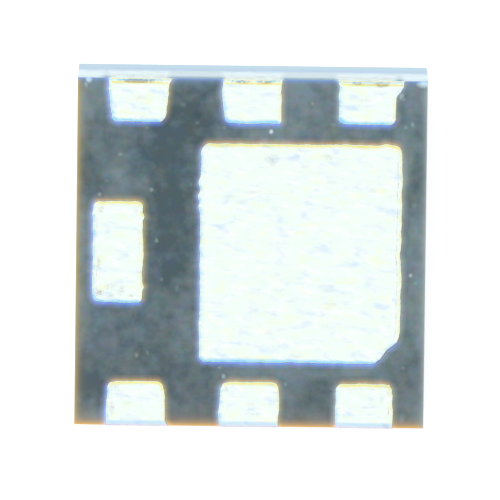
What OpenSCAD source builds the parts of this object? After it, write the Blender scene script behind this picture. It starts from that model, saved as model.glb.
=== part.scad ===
// Leadless charging chip, 2 mm square, with six leads and two exposed pads.
// It lies on its marked face, as in the photograph: the lands face +Z, +Y is the row of leads 4 to 6,
// and the origin is the middle of the marked face. All sizes are in millimetres.

/* [Package] */
// Width along the rows of leads
body_w = 2.00; // [1.90:0.05:2.40]
// Length from one row of leads to the other
body_l = 2.00; // [1.90:0.05:2.40]
// Height from the marked face to the soldering plane
package_h = 0.75; // [0.70:0.01:1.00]
// Radius of the first-lead mark in the marked face
mark_r = 0.10; // [0.05:0.01:0.20]
// Depth of the first-lead mark
mark_depth = 0.01; // [0.005:0.001:0.03]
// Distance of the mark's middle from both sides of the body
mark_inset = 0.30; // [0.22:0.01:0.60]

/* [Leads] */
// Distance between neighbouring leads
lead_pitch = 0.65; // [0.50:0.01:0.70]
// Width of a lead's copper land
lead_w = 0.31; // [0.20:0.01:0.40]
// Length of a lead's copper land, from the sawn side
lead_l = 0.25; // [0.18:0.01:0.28]
// Radius of a land's inner corners
lead_corner_r = 0.04; // [0.01:0.005:0.08]
// Length of the rolled edge
rollover_l = 0.03; // [0.01:0.005:0.06]
// Depth of the rolled edge at the sawn side
rollover_depth = 0.02; // [0.005:0.001:0.03]

/* [Drain pad] */
// Width of the copper land
drain_pad_w = 1.135; // [0.90:0.005:1.20]
// Length of the copper land
drain_pad_l = 1.24; // [0.90:0.01:1.26]
// Distance from the land to the body's side
drain_pad_margin = 0.145; // [0.12:0.005:0.30]
// Leg of the chamfer that marks lead 1
drain_pad_chamfer = 0.14; // [0.05:0.01:0.30]
// Radius of the other corners
drain_pad_corner_r = 0.04; // [0.01:0.005:0.10]

/* [Source pad] */
// Width of the copper land
source_pad_w = 0.27; // [0.20:0.01:0.30]
// Length of the copper land
source_pad_l = 0.57; // [0.40:0.01:0.70]
// Distance from the land to the body's side
source_pad_margin = 0.106; // [0.08:0.002:0.14]
// Radius of the corners
source_pad_corner_r = 0.04; // [0.01:0.005:0.10]

/* [Copper frame] */
// Thickness of the copper
frame_t = 0.20; // [0.15:0.01:0.25]
// Thickness left where the copper is etched from the side of the lands
etched_t = 0.10; // [0.06:0.01:0.14]
// How far the copper stands proud of the moulding
stand_off = 0.01; // [0.005:0.001:0.02]
// Smallest gap between two pieces of copper
frame_gap = 0.11; // [0.08:0.01:0.15]
// Reach of the etched lip past the drain land, towards the source pad
drain_lip_w = 0.09; // [0.04:0.01:0.12]
// Reach of the etched lip past a land's other sides
lip_w = 0.06; // [0.02:0.01:0.07]
// Width of the etched webs that join the leads
web_w = 0.25; // [0.12:0.01:0.30]
// Width of the sawn tie bars
tie_bar_w = 0.20; // [0.08:0.01:0.30]
// Distance between the drain paddle's two tie bars
tie_bar_pitch = 0.70; // [0.40:0.01:0.90]

/* [Finish] */
// Thickness of the tin on the lands
tin_t = 0.01; // [0.005:0.001:0.02]
// Thickness of the silver spots that the wires are bonded to
silver_t = 0.005; // [0.002:0.001:0.01]
// Distance from a silver spot to the edges of its copper
silver_margin = 0.03; // [0.01:0.005:0.06]

/* [Die] */
// Width of the silicon die
die_w = 0.98; // [0.70:0.01:1.05]
// Length of the silicon die
die_l = 1.12; // [0.80:0.01:1.20]
// Thickness of the silicon die
die_t = 0.15; // [0.10:0.01:0.20]
// Thickness of the die attach
attach_t = 0.02; // [0.01:0.005:0.04]
// Reach of the die attach past the die
attach_bleed = 0.02; // [0.00:0.005:0.04]
// Thickness of the metal on the die
metal_t = 0.005; // [0.003:0.001:0.01]
// Distance from the metal to the die's edges
metal_margin = 0.04; // [0.02:0.01:0.08]
// Side of the square gate pad
gate_metal_w = 0.16; // [0.12:0.01:0.25]
// Gap between the gate pad and the source metal
metal_gap = 0.03; // [0.02:0.005:0.06]

/* [Bond wires] */
// Diameter of the source wires
source_wire_d = 0.050; // [0.030:0.005:0.060]
// Diameter of the gate wire
gate_wire_d = 0.038; // [0.020:0.002:0.050]
// Diameter of a bonded ball, as a multiple of the wire's
ball_ratio = 1.9; // [1.5:0.1:2.4]
// Height of a loop above the die
loop_h = 0.14; // [0.10:0.01:0.18]
// Distance between the source wires
source_wire_pitch = 0.19; // [0.14:0.01:0.21]
// Distance from the die's edge to the source wires' balls
source_ball_inset = 0.16; // [0.12:0.01:0.40]
// Length of the flat stitch at a wire's far end
stitch_l = 0.06; // [0.03:0.01:0.08]

/* [Hidden] */
// The piece of copper that each lead belongs to, from lead 1 on
lead_piece = ["drain", "drain", "gate", "source", "drain", "drain"];
leads_a_row = len(lead_piece) / 2;
leads = [for (i = [1 : len(lead_piece)]) i];
source_wire_count = 4;
source_wires = [for (i = [1 : source_wire_count]) i];

// Flats on a wire, steps along its loop and steps round a corner
wire_sides = 8;
loop_steps = 12;
corner_steps = 5;
// How far a cutter runs past what it cuts
cut_room = 0.1;
mark_facets = 64;

// Heights, from the lands down to the die's face. The die side is the side of the marked face.
copper_face_z = package_h - tin_t;
mold_h = copper_face_z - stand_off;
copper_back_z = copper_face_z - frame_t;
etched_z = copper_back_z + etched_t;
silver_z = copper_back_z - silver_t;
attach_z = copper_back_z - attach_t;
die_face_z = attach_z - die_t;
metal_z = die_face_z - metal_t;

// Plan of the copper. Left is the side of the source pad.
drain_pad_x = body_w / 2 - drain_pad_margin - drain_pad_w / 2;
source_pad_x = -body_w / 2 + source_pad_margin + source_pad_w / 2;
paddle_left = drain_pad_x - drain_pad_w / 2 - drain_lip_w;
paddle_right = drain_pad_x + drain_pad_w / 2 + lip_w;
paddle_half_l = drain_pad_l / 2 + lip_w;
lead_end_y = body_l / 2 - lead_l;
post_left = source_pad_x - source_pad_w / 2 - lip_w;
post_right = paddle_left - frame_gap;
source_post_bottom = -source_pad_l / 2 - lip_w;
gate_post_top = source_post_bottom - frame_gap;

// Plan of the die
die_x = (paddle_left + paddle_right) / 2;
die_left = die_x - die_w / 2;
metal_left = die_left + metal_margin;
metal_bottom = -die_l / 2 + metal_margin;
gate_metal_at = [metal_left + gate_metal_w / 2, metal_bottom + gate_metal_w / 2];

// The wires' stitches, in the middle of their silver spots
stitch_x = (post_left + post_right) / 2;
source_stitch_y = (source_post_bottom + lead_end_y) / 2;
gate_stitch = [stitch_x, (gate_post_top - lead_end_y) / 2];

function leads_of(piece) = [for (i = leads) if (lead_piece[i - 1] == piece) i];

// Leads are numbered anticlockwise as seen from the marked face, so clockwise here, from the chamfer.
function on_far_row(i) = i > leads_a_row;
function row_offset(k, count) = k - (count + 1) / 2;
function lead_x(i) =
    lead_pitch * (on_far_row(i) ? row_offset(i - leads_a_row, leads_a_row) : -row_offset(i, leads_a_row));

function arc(centre, r, from) =
    [for (k = [0 : corner_steps]) let (a = from + 90 * k / corner_steps) centre + r * [cos(a), sin(a)]];

// A lead's land, inwards along +Y from the sawn side, or from some way outside it
function lead_outline(grow = 0, outside = 0) =
    let (x = lead_w / 2 + grow, y = lead_l + grow, r = lead_corner_r + grow)
    concat([[-x, -outside], [x, -outside]], arc([x - r, y - r], r, 0), arc([r - x, y - r], r, 90));

function source_pad_outline(grow = 0) =
    let (x = source_pad_w / 2 + grow, y = source_pad_l / 2 + grow, r = source_pad_corner_r + grow)
    concat(
        arc([x - r, y - r], r, 0), arc([r - x, y - r], r, 90),
        arc([r - x, r - y], r, 180), arc([x - r, r - y], r, 270)
    );

// The chamfer's leg grows by less than the sides move, so that its own edge moves as far as they do.
function drain_pad_outline(grow = 0) =
    let (
        x = drain_pad_w / 2 + grow,
        y = drain_pad_l / 2 + grow,
        r = drain_pad_corner_r + grow,
        leg = drain_pad_chamfer + grow * (2 - sqrt(2))
    )
    concat(
        [[x - leg, -y], [x, leg - y]],
        arc([x - r, y - r], r, 0), arc([r - x, y - r], r, 90), arc([r - x, r - y], r, 180)
    );

// Draws its children at a lead, with the sawn side at y = 0
module at_lead(i) {
    translate([lead_x(i), on_far_row(i) ? body_l / 2 : -body_l / 2, 0])
        rotate(on_far_row(i) ? 180 : 0)
            children();
}

// A plate between two heights
module plate(low, high) {
    translate([0, 0, low]) linear_extrude(high - low) children();
}

// A rectangle between two corners
module area(low, high) {
    translate(low) square(high - low);
}

// Full thickness of copper under a land
module land() {
    plate(copper_back_z, copper_face_z) children();
}

// Copper that was etched away from the side of the lands
module etched() {
    plate(copper_back_z, etched_z) children();
}

// What the saw rolled away at the end of a lead's land
module rollover() {
    translate([-lead_w, 0, package_h])
        rotate([90, 0, 90])
            linear_extrude(2 * lead_w)
                polygon([
                    [rollover_l, 0], [0, -rollover_depth], [-cut_room, -rollover_depth],
                    [-cut_room, cut_room], [rollover_l, cut_room]
                ]);
}

module lead_land(i) {
    at_lead(i) difference() {
        land() polygon(lead_outline());
        rollover();
    }
}

// Etched web from a lead's inner end to a place further in
module web(i, reach) {
    at_lead(i) etched() area([-web_w / 2, lead_l / 2], [web_w / 2, reach]);
}

// Drain: the paddle under the die, its land, four leads and two tie bars, etched from one sheet
module drain_paddle() {
    color("peru") {
        land() translate([drain_pad_x, 0]) polygon(drain_pad_outline());
        etched() area([paddle_left, -paddle_half_l], [paddle_right, paddle_half_l]);
        for (i = leads_of("drain")) {
            lead_land(i);
            web(i, body_l / 2);
        }
        for (y = [-tie_bar_pitch / 2, tie_bar_pitch / 2])
            etched() area([drain_pad_x, y - tie_bar_w / 2], [body_w / 2, y + tie_bar_w / 2]);
    }
}

// Source: the small pad, the bonding post over it, lead 4 and one tie bar
module source_post() {
    color("peru") {
        land() translate([source_pad_x, 0]) polygon(source_pad_outline());
        etched() area([post_left, source_post_bottom], [post_right, lead_end_y]);
        etched() area([-body_w / 2, -tie_bar_w / 2], [source_pad_x, tie_bar_w / 2]);
        for (i = leads_of("source")) {
            lead_land(i);
            web(i, lead_l + lip_w);
        }
    }
}

// Gate: lead 3 and its bonding post
module gate_post() {
    color("peru") {
        etched() area([post_left, -lead_end_y], [post_right, gate_post_top]);
        for (i = leads_of("gate")) {
            lead_land(i);
            web(i, lead_l + lip_w);
        }
    }
}

// Tin over a land: its face, and the sides that stand proud of the moulding
module tin_over(land_outline, tin_outline) {
    difference() {
        plate(mold_h, package_h) polygon(tin_outline);
        plate(mold_h - cut_room, copper_face_z) polygon(land_outline);
    }
}

module tin_lead(i) {
    color("gainsboro") at_lead(i) difference() {
        tin_over(lead_outline(0, cut_room), lead_outline(tin_t));
        rollover();
    }
}

module tin_drain_pad() {
    color("gainsboro") translate([drain_pad_x, 0])
        tin_over(drain_pad_outline(), drain_pad_outline(tin_t));
}

module tin_source_pad() {
    color("gainsboro") translate([source_pad_x, 0])
        tin_over(source_pad_outline(), source_pad_outline(tin_t));
}

// Silver spots on the die side of the posts
module source_silver_spot() {
    color("silver") plate(silver_z, copper_back_z)
        area(
            [post_left + silver_margin, source_post_bottom + silver_margin],
            [post_right - silver_margin, lead_end_y - silver_margin]
        );
}

module gate_silver_spot() {
    color("silver") plate(silver_z, copper_back_z)
        area(
            [post_left + silver_margin, -lead_end_y + silver_margin],
            [post_right - silver_margin, gate_post_top - silver_margin]
        );
}

module die_attach() {
    color("dimgray") plate(attach_z, copper_back_z)
        translate([die_x, 0]) square([die_w + 2 * attach_bleed, die_l + 2 * attach_bleed], center = true);
}

module silicon_die() {
    color("slategray") plate(die_face_z, attach_z)
        translate([die_x, 0]) square([die_w, die_l], center = true);
}

// Metal on the die: the gate pad in the corner nearest the gate post, the source metal over the rest
module gate_metal() {
    color("lightgray") plate(metal_z, die_face_z)
        translate(gate_metal_at) square(gate_metal_w, center = true);
}

module source_metal() {
    color("lightgray") plate(metal_z, die_face_z)
        difference() {
            translate([die_x, 0])
                square([die_w - 2 * metal_margin, die_l - 2 * metal_margin], center = true);
            translate(gate_metal_at - [cut_room, cut_room] / 2)
                square(gate_metal_w + 2 * metal_gap + cut_room, center = true);
        }
}

// A wire is a row of rings in one upright plane. A ring is [way along, height, direction, half width, half thickness].
function bezier(p, t) =
    pow(1 - t, 3) * p[0] + 3 * pow(1 - t, 2) * t * p[1] + 3 * (1 - t) * t * t * p[2] + t * t * t * p[3];

function bezier_way(p, t) =
    pow(1 - t, 2) * (p[1] - p[0]) + 2 * (1 - t) * t * (p[2] - p[1]) + t * t * (p[3] - p[2]);

// The ball that the wire starts in, squashed on the die's metal
function ball_rings(r, ball_r) =
    let (down = [0, -1])
    [
        [0, metal_z, down, 0.80 * ball_r, 0.80 * ball_r],
        [0, metal_z - 0.35 * r, down, ball_r, ball_r],
        [0, metal_z - 0.85 * r, down, 0.90 * ball_r, 0.90 * ball_r],
        [0, metal_z - 1.20 * r, down, 1.10 * r, 1.10 * r]
    ];

// The loop, straight up out of the ball and down to the stitch
function loop_rings(r, length) =
    let (
        top = metal_z - 4 / 3 * loop_h,
        p = [
            [0, metal_z - 1.60 * r], [0, top],
            [0.45 * length, top], [length - stitch_l, silver_z - 1.15 * r]
        ]
    )
    [for (k = [0 : loop_steps]) let (t = k / loop_steps, c = bezier(p, t), way = bezier_way(p, t))
        [c[0], c[1], way / norm(way), r, r]];

// The flat stitch on the silver
function stitch_rings(r, length) =
    [
        [length - stitch_l / 2, silver_z - 0.35 * r, [1, 0], 1.4 * r, 0.35 * r],
        [length + stitch_l / 2, silver_z - 0.20 * r, [1, 0], 1.1 * r, 0.20 * r]
    ];

function ring_points(ring, from, way) =
    let (
        side = [-way[1], way[0]],
        centre = from + ring[0] * way,
        up = [-ring[2][1], ring[2][0]],
        flat = cos(180 / wire_sides)
    )
    [for (k = [0 : wire_sides - 1])
        let (
            a = 360 * (k + 0.5) / wire_sides,
            u = ring[3] * cos(a) / flat,
            v = ring[4] * sin(a) / flat,
            plan = centre + u * side + v * up[0] * way
        )
        [plan[0], plan[1], ring[1] + v * up[1]]];

module bond_wire(from, to, d) {
    r = d / 2;
    length = norm(to - from);
    way = (to - from) / length;
    rings = concat(ball_rings(r, r * ball_ratio), loop_rings(r, length), stitch_rings(r, length));
    last = len(rings) - 1;
    n = wire_sides;
    points = [for (ring = rings) each ring_points(ring, from, way)];
    sides = [
        for (i = [0 : last - 1], k = [0 : n - 1])
            let (a = i * n + k, b = i * n + (k + 1) % n)
            each [[a, a + n, b], [b, a + n, b + n]]
    ];
    ends = [[for (k = [0 : n - 1]) k], [for (k = [n - 1 : -1 : 0]) last * n + k]];
    polyhedron(points, concat(sides, ends));
}

module gate_wire() {
    color("gold") bond_wire(gate_metal_at, gate_stitch, gate_wire_d);
}

module source_wire(i) {
    y = source_stitch_y + row_offset(i, source_wire_count) * source_wire_pitch;
    color("gold")
        bond_wire([die_left + source_ball_inset, y], [stitch_x, y], source_wire_d);
}

// Everything that the moulding is cast round
module insides() {
    drain_paddle();
    source_post();
    gate_post();
    source_silver_spot();
    gate_silver_spot();
    die_attach();
    silicon_die();
    source_metal();
    gate_metal();
    gate_wire();
    for (i = source_wires) source_wire(i);
}

module mold_body() {
    color("darkslategray") difference() {
        plate(0, mold_h) square([body_w, body_l], center = true);
        insides();
        translate([body_w / 2 - mark_inset, mark_inset - body_l / 2, mark_depth - cut_room])
            cylinder(r = mark_r, h = cut_room, $fn = mark_facets);
    }
}

mold_body();
drain_paddle();
source_post();
gate_post();
tin_drain_pad();
tin_source_pad();
for (i = leads) tin_lead(i);
source_silver_spot();
gate_silver_spot();
die_attach();
silicon_die();
source_metal();
gate_metal();
gate_wire();
for (i = source_wires) source_wire(i);
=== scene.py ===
"""Looks of the leadless charging chip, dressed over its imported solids.

Lengths are in millimetres until they reach Blender, which gets metres. Only the marks of wear and the
specks are listed in thousandths of a millimetre.
The chip lies on its marked face: +Z comes out of the lands, +Y is the row of leads 4 to 6.
"""

import math
from functools import partialmethod

import bpy
import numpy as np
from mathutils import Matrix, Vector, noise
from mathutils.geometry import delaunay_2d_cdt


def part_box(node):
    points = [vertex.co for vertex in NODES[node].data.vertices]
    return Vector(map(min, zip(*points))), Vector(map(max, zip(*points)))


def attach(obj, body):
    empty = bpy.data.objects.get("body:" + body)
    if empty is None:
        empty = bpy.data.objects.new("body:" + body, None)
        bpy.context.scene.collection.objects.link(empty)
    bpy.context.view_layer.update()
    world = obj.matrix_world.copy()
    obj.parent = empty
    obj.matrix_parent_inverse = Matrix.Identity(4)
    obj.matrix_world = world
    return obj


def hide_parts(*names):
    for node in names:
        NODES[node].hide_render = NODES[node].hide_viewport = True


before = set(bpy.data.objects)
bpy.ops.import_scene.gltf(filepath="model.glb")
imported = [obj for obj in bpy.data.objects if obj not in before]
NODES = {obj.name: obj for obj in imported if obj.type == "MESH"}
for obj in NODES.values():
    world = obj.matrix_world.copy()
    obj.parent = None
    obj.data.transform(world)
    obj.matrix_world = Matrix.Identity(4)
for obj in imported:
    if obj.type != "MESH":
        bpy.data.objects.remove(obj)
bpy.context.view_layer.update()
MM = 0.001

# Heights and half widths of the solids, read from the frame
BODY_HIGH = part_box("mold_body")[1] / MM
MOLD_TOP = BODY_HIGH.z
LAND_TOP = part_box("tin_drain_pad")[1].z / MM
COPPER_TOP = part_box("drain_paddle")[1].z / MM
COPPER_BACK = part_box("drain_paddle")[0].z / MM
HALF_W = BODY_HIGH.x
HALF_L = BODY_HIGH.y
# Etched copper, its tie bars and the pitch of the leads, which the boxes of the nodes don't give
ETCHED_T = 0.1
TIE_BAR_W = 0.2
TIE_BAR_Y = 0.35
LEAD_PITCH = 0.65
# What divides the places and reaches of marks and specks
THOUSANDTHS = 1000


def add_object(name, data):
    made = bpy.data.objects.new(name, data)
    bpy.context.collection.objects.link(made)
    return made


# Camera

# Size and scale of the picture in pixels, and where the middle of the chip's face lies in it
PICTURE_PX = 500
PX_PER_MM = 174.8
FACE_CENTRE_PX = (250.75, 253.15)
# How far the camera leans towards +Y, and how far the chip is turned in the picture
TILT_DEG = 6.8
TURN_DEG = 0.69
LENS_MM = 1250.0
SENSOR_MM = 36.0
# Nearest and furthest distance that the camera shows, in metres
CLIP_M = (0.001, 1.0)


def add_camera():
    width = PICTURE_PX / PX_PER_MM
    distance = width * LENS_MM / SENSOR_MM
    turn = Matrix.Rotation(math.radians(TURN_DEG), 3, "Z")
    turn = Matrix.Rotation(math.radians(-TILT_DEG), 3, "X") @ turn
    right, up, back = turn.transposed()
    across = (PICTURE_PX / 2 - FACE_CENTRE_PX[0]) / PX_PER_MM
    upwards = (FACE_CENTRE_PX[1] - PICTURE_PX / 2) / PX_PER_MM
    target = Vector((0, 0, MOLD_TOP)) + across * right + upwards * up
    data = bpy.data.cameras.new("camera")
    data.lens = LENS_MM
    data.sensor_width = SENSOR_MM
    data.clip_start, data.clip_end = CLIP_M
    camera = add_object("camera", data)
    camera.matrix_world = Matrix.Translation((target + back * distance) * MM) @ turn.to_4x4()
    bpy.context.scene.camera = camera


# Node helpers


class Tree:
    """A node tree that is written one node at a time."""

    def __init__(self, owner):
        owner.use_nodes = True
        self.owner = owner
        self.tree = owner.node_tree
        self.tree.nodes.clear()

    def node(self, kind, settings=None, **inputs):
        made = self.tree.nodes.new("ShaderNode" + kind)
        for key, value in (settings or {}).items():
            setattr(made, key, value)
        for key, value in inputs.items():
            self.put(made, key, value)
        return made

    def out(self, kind, settings=None, **inputs):
        return self.node(kind, settings, **inputs).outputs[0]

    def put(self, node, key, value):
        """Sets or links the input that key names, or the one that it numbers as _0, _1 and so on."""
        numbered = key[0] == "_" and key[1:].isdigit()
        self.fill(node.inputs[int(key[1:]) if numbered else key.replace("_", " ")], value)

    def fill(self, socket, value):
        """Links or sets one input. Colours are given without their alpha."""
        if isinstance(value, bpy.types.NodeSocket):
            self.tree.links.new(value, socket)
        else:
            socket.default_value = (*value, 1.0) if socket.type == "RGBA" else value

    def math(self, operation, a, b=0.0):
        return self.out("Math", {"operation": operation}, _0=a, _1=b)

    times = partialmethod(math, "MULTIPLY")
    minus = partialmethod(math, "SUBTRACT")
    size = partialmethod(math, "ABSOLUTE")
    most = partialmethod(math, "MAXIMUM")
    over = partialmethod(math, "GREATER_THAN")

    def vector(self, operation, a, b):
        return self.out("VectorMath", {"operation": operation}, _0=a, _1=b)

    def mix(self, factor, a, b, blend="MIX"):
        made = self.node("Mix", {"data_type": "RGBA", "blend_type": blend})
        for key, value in (("Factor", factor), ("A", a), ("B", b)):
            self.fill(next(s for s in made.inputs if s.name == key and s.enabled), value)
        return next(s for s in made.outputs if s.enabled)

    def ramp(self, value, low, high, smooth=True):
        settings = {"interpolation_type": "SMOOTHSTEP" if smooth else "LINEAR"}
        return self.out("MapRange", settings, Value=value, From_Min=low, From_Max=high)

    def add(self, value, factor, offset):
        """value * factor + offset"""
        return self.out("Math", {"operation": "MULTIPLY_ADD"}, _0=value, _1=factor, _2=offset)

    def attribute(self, name, output="Fac"):
        return self.node("Attribute", {"attribute_name": name}).outputs[output]

    def blend(self, factor, a, b):
        return self.out("MixShader", _0=factor, _1=a, _2=b)

    def place(self, scale=(1, 1, 1), offset=(0, 0, 0), turn_deg=0.0):
        """Object coordinates in millimetres, turned about +Z, stretched and moved."""
        where = self.node("TexCoord").outputs["Object"]
        if turn_deg:
            where = self.out("VectorRotate", {"rotation_type": "Z_AXIS"}, Vector=where,
                             Angle=math.radians(turn_deg))
        grow = tuple(s / MM for s in scale)
        return self.out("Mapping", Vector=where, Scale=grow, Location=offset)

    def axes(self):
        """Object coordinates in millimetres, one by one."""
        return self.node("SeparateXYZ", Vector=self.place()).outputs

    def noise(self, where, scale, detail, rough, distortion=0.0):
        return self.node("TexNoise", Vector=where, Scale=scale, Detail=detail,
                         Roughness=rough, Distortion=distortion).outputs["Fac"]

    def bump(self, height, depth_mm, strength, **under):
        """A normal. under may hold the Normal of a coarser bump."""
        return self.out("Bump", Height=height, Distance=depth_mm * MM, Strength=strength, **under)

    def surface(self, shader):
        """Ends the tree with shader, and returns the material or world that it is for."""
        kind = "OutputWorld" if isinstance(self.owner, bpy.types.World) else "OutputMaterial"
        self.node(kind, Surface=shader)
        return self.owner


def principled(t, **inputs):
    return t.out("BsdfPrincipled", **inputs)


# World, lamp and floor

WHITE = (1.0, 1.0, 1.0)
# Light of the white studio on matte surfaces, where the lamp adds to it
SKY_LIGHT = 0.62
# Direction to the lamp, its strength and how wide it looks
LAMP_AT = (-0.35, 0.45, 1.0)
LAMP_STRENGTH = 1.1
LAMP_WIDTH_DEG = 35
FLOOR_SIZE = 400.0
FLOOR_GAP = 0.002
# The floor's own colour, and the glow that makes it white to the camera
PAPER = (0.86, 0.86, 0.86)
PAPER_GLOW = 0.62
# The floor as the sides reflect it: out in the light, in the shade at the chip's foot, and between the two
FLOOR_FAR = (0.89, 1.0, 1.0)
FLOOR_NEAR = (0.73, 0.92, 1.0)
FLOOR_BETWEEN = (0.66, 0.81, 1.0)
# How far from the chip's sides that shade reaches, and from that line outwards: where the shade begins and
# ends to fade, where the middle of the tint between lies, and how far that spreads at most and in full
SHADE_REACH = 0.033
SHADE_FADE = (-0.003, 0.007)
BETWEEN_AT = -0.004
BETWEEN_SPREAD = (0.01, 0.002)


def add_world():
    world = bpy.data.worlds.new("studio")
    bpy.context.scene.world = world
    t = Tree(world)
    path = t.node("LightPath").outputs
    seen = t.most(path["Is Camera Ray"], path["Is Glossy Ray"])
    seen = t.most(seen, path["Is Transmission Ray"])
    lights = t.out("Background", Color=WHITE, Strength=SKY_LIGHT)
    shows = t.out("Background", Color=WHITE, Strength=1.0)
    t.surface(t.blend(seen, lights, shows))


def add_lamp():
    data = bpy.data.lights.new("key", "SUN")
    data.energy = LAMP_STRENGTH
    data.angle = math.radians(LAMP_WIDTH_DEG)
    lamp = add_object("key", data)
    lamp.rotation_euler = Vector(LAMP_AT).to_track_quat("Z", "Y").to_euler()
    lamp.visible_glossy = False


def add_floor():
    half = FLOOR_SIZE / 2 * MM
    z = -FLOOR_GAP * MM
    corners = [(-half, -half, z), (half, -half, z), (half, half, z), (-half, half, z)]
    mesh = bpy.data.meshes.new("floor")
    mesh.from_pydata(corners, [], [(0, 1, 2, 3)])
    floor = add_object("floor", mesh)
    t = Tree(bpy.data.materials.new("floor_paper"))
    path = t.node("LightPath").outputs
    paper = t.out("BsdfDiffuse", Color=PAPER)
    glow = t.out("Emission", Color=WHITE, Strength=PAPER_GLOW)
    shown = t.out("AddShader", _0=paper, _1=glow)
    x, y, _ = t.axes()
    away = t.most(t.size(x), t.size(y))
    past = t.minus(away, HALF_L + SHADE_REACH)
    tint = t.mix(t.ramp(past, *SHADE_FADE), FLOOR_NEAR, FLOOR_FAR)
    off_between = t.size(t.minus(past, BETWEEN_AT))
    tint = t.mix(t.ramp(off_between, *BETWEEN_SPREAD), tint, FLOOR_BETWEEN)
    reflected = t.out("Emission", Color=tint, Strength=1.0)
    mirrored = t.most(path["Is Glossy Ray"], path["Is Transmission Ray"])
    shader = t.blend(mirrored, t.blend(path["Is Camera Ray"], paper, shown), reflected)
    # From below the paper is see-through, so that the marked face can be looked at
    below = t.node("NewGeometry").outputs["Backfacing"]
    clear = t.out("BsdfTransparent")
    mesh.materials.append(t.surface(t.blend(below, shader, clear)))


# Materials

# How near a point lies to a side of the body that it counts as on it
ON_SIDE = 0.0005
# Metal smeared on the sawn sides: half its width at a lead, how low it reaches on either row, how much that
# rises along X, and how far it reaches past a tie bar
SMEAR_HALF_W = 0.185
SMEAR_LOW_FAR = 0.29
SMEAR_LOW_NEAR = 0.47
SMEAR_SLOPE = 0.03
SMEAR_PAST_BAR = (0.01, 0.012)
# How many times softer the smear ends downwards than sideways, how ragged its edge is, and where that fades
SMEAR_SOFT = 5.0
SMEAR_RAGGED = 0.08
SMEAR_FADE = (-0.012, 0.04)
# From here out to the corners the far row's side is smeared all over
SMEAR_CORNER_X = 0.84
# Height at which the saw's two passes met, how wavy their line is, and half its width
PASS_Z = 0.235
PASS_WAVE = 0.02
PASS_HALF = 0.012
# How far below the face the far row's side carries a painted blue colour fringe
BLUE_FRINGE_H = 0.19
# Up to this height the faces of the mould body belong to its marked face
MARKED_FACE_TO = 0.05

# Where the moulded face between the lands is paler or darker: place, reach across and along, and amount
TONES = [
    (-0.43, 0.6, 0.3, 0.55, -0.42), (-0.43, 0.05, 0.22, 0.6, -0.38), (-0.4, -0.66, 0.6, 0.2, -0.2),
    (-0.93, -0.76, 0.25, 0.22, -0.55), (-0.62, 0.47, 0.16, 0.18, -0.2), (-0.97, 0.1, 0.16, 0.55, 0.55),
    (-0.93, 0.92, 0.3, 0.25, 0.35), (0.24, 0.85, 0.34, 0.4, 0.36), (0.05, -0.66, 0.5, 0.2, 0.3),
    (0.96, 0.0, 0.3, 1.1, 0.45), (-0.93, -0.95, 0.25, 0.16, 0.24), (0.05, 0.9, 0.9, 0.25, 0.15),
    (-0.36, -0.93, 0.2, 0.15, -0.15), (0.33, -0.85, 0.22, 0.22, -0.1), (-0.28, 0.79, 0.2, 0.26, -0.5),
    (-0.975, 0.44, 0.18, 0.3, -0.62), (-0.97, -0.34, 0.25, 0.25, 0.45), (-0.42, -0.76, 0.25, 0.2, -0.4),
    (0.97, 0.5, 0.15, 0.34, -0.55), (0.92, 0.93, 0.24, 0.18, 0.4), (0.58, -0.67, 0.18, 0.12, 0.42),
    (-0.05, -0.67, 0.14, 0.12, 0.3), (0.42, -0.8, 0.16, 0.18, -0.34), (-0.33, -0.2, 0.12, 0.2, 0.38),
    (0.28, 0.69, 0.65, 0.1, 0.22), (-0.6, 0.22, 0.14, 0.26, -0.22), (0.97, -0.12, 0.12, 0.25, -0.15),
    (-0.38, 0.52, 0.14, 0.2, 0.26), (0.87, 0.55, 0.1, 0.34, 0.55), (0.99, 0.33, 0.09, 0.18, -0.35),
    (0.77, -0.57, 0.12, 0.12, 0.6), (0.68, -0.67, 0.16, 0.12, 0.5), (0.93, -0.67, 0.12, 0.16, -0.45),
    (-0.85, -0.8, 0.16, 0.14, -0.3), (-0.42, -0.33, 0.16, 0.14, 0.3), (-0.83, 0.47, 0.12, 0.14, 0.25),
]

# Mottling of the epoxy, from clouds to filler: cells a millimetre, offset, detail, roughness, amount
MOTTLE = [
    ((3.4, 2.2, 2.0), (3.1, 0.4, 0.0), 2.0, 0.5, 1.0),
    ((14.0, 14.0, 14.0), (0.0, 0.0, 0.0), 2.0, 0.5, 1.18),
    ((42.0, 42.0, 42.0), (0.0, 2.0, 0.0), 1.0, 0.5, 0.23),
]

# Its hue drifts from cell to cell: cells a millimetre, offset, detail, roughness, and its two tints
HUES = [
    (12.0, (3.0, 1.0, 0.0), 4.0, 0.9, (0.86, 1.04, 1.09), (1.13, 0.96, 0.92)),
    (9.0, (0.0, 7.0, 2.0), 4.0, 0.85, (1.03, 1.02, 0.88), (0.97, 0.98, 1.12)),
    (40.0, (5.0, 0.0, 1.0), 1.0, 0.5, (0.92, 1.035, 0.94), (1.08, 0.965, 1.06)),
]

# Rims of the moulded face, the first one a wide warmer tone along the near row, the others painted colour
# fringes of light: the side that each lies on, its colour, strength and reach
RIM_TONE_AND_FRINGES = [
    ((0, -1), (0.17, 0.165, 0.185), 0.24, 0.24),
    ((-1, 0), (0.66, 0.5, 0.17), 0.84, 0.018),
    ((0, -1), (1.0, 0.58, 0.17), 0.97, 0.02),
    ((1, 0), (0.5, 0.59, 0.59), 0.66, 0.016),
    ((0, 1), (0.25, 0.44, 0.92), 0.88, 0.012),
]
PLAIN_RIMS = [(side, (0.3, 0.36, 0.38), 0.4, 0.017) for side in ((-1, 0), (0, -1), (1, 0), (0, 1))]
# The epoxy's darkest and palest colour, and how far its soft patches are bent out of round
EPOXY_DARK = (0.056, 0.096, 0.114)
EPOXY_PALE = (0.187, 0.257, 0.284)
PATCH_DRIFT = 0.16


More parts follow.
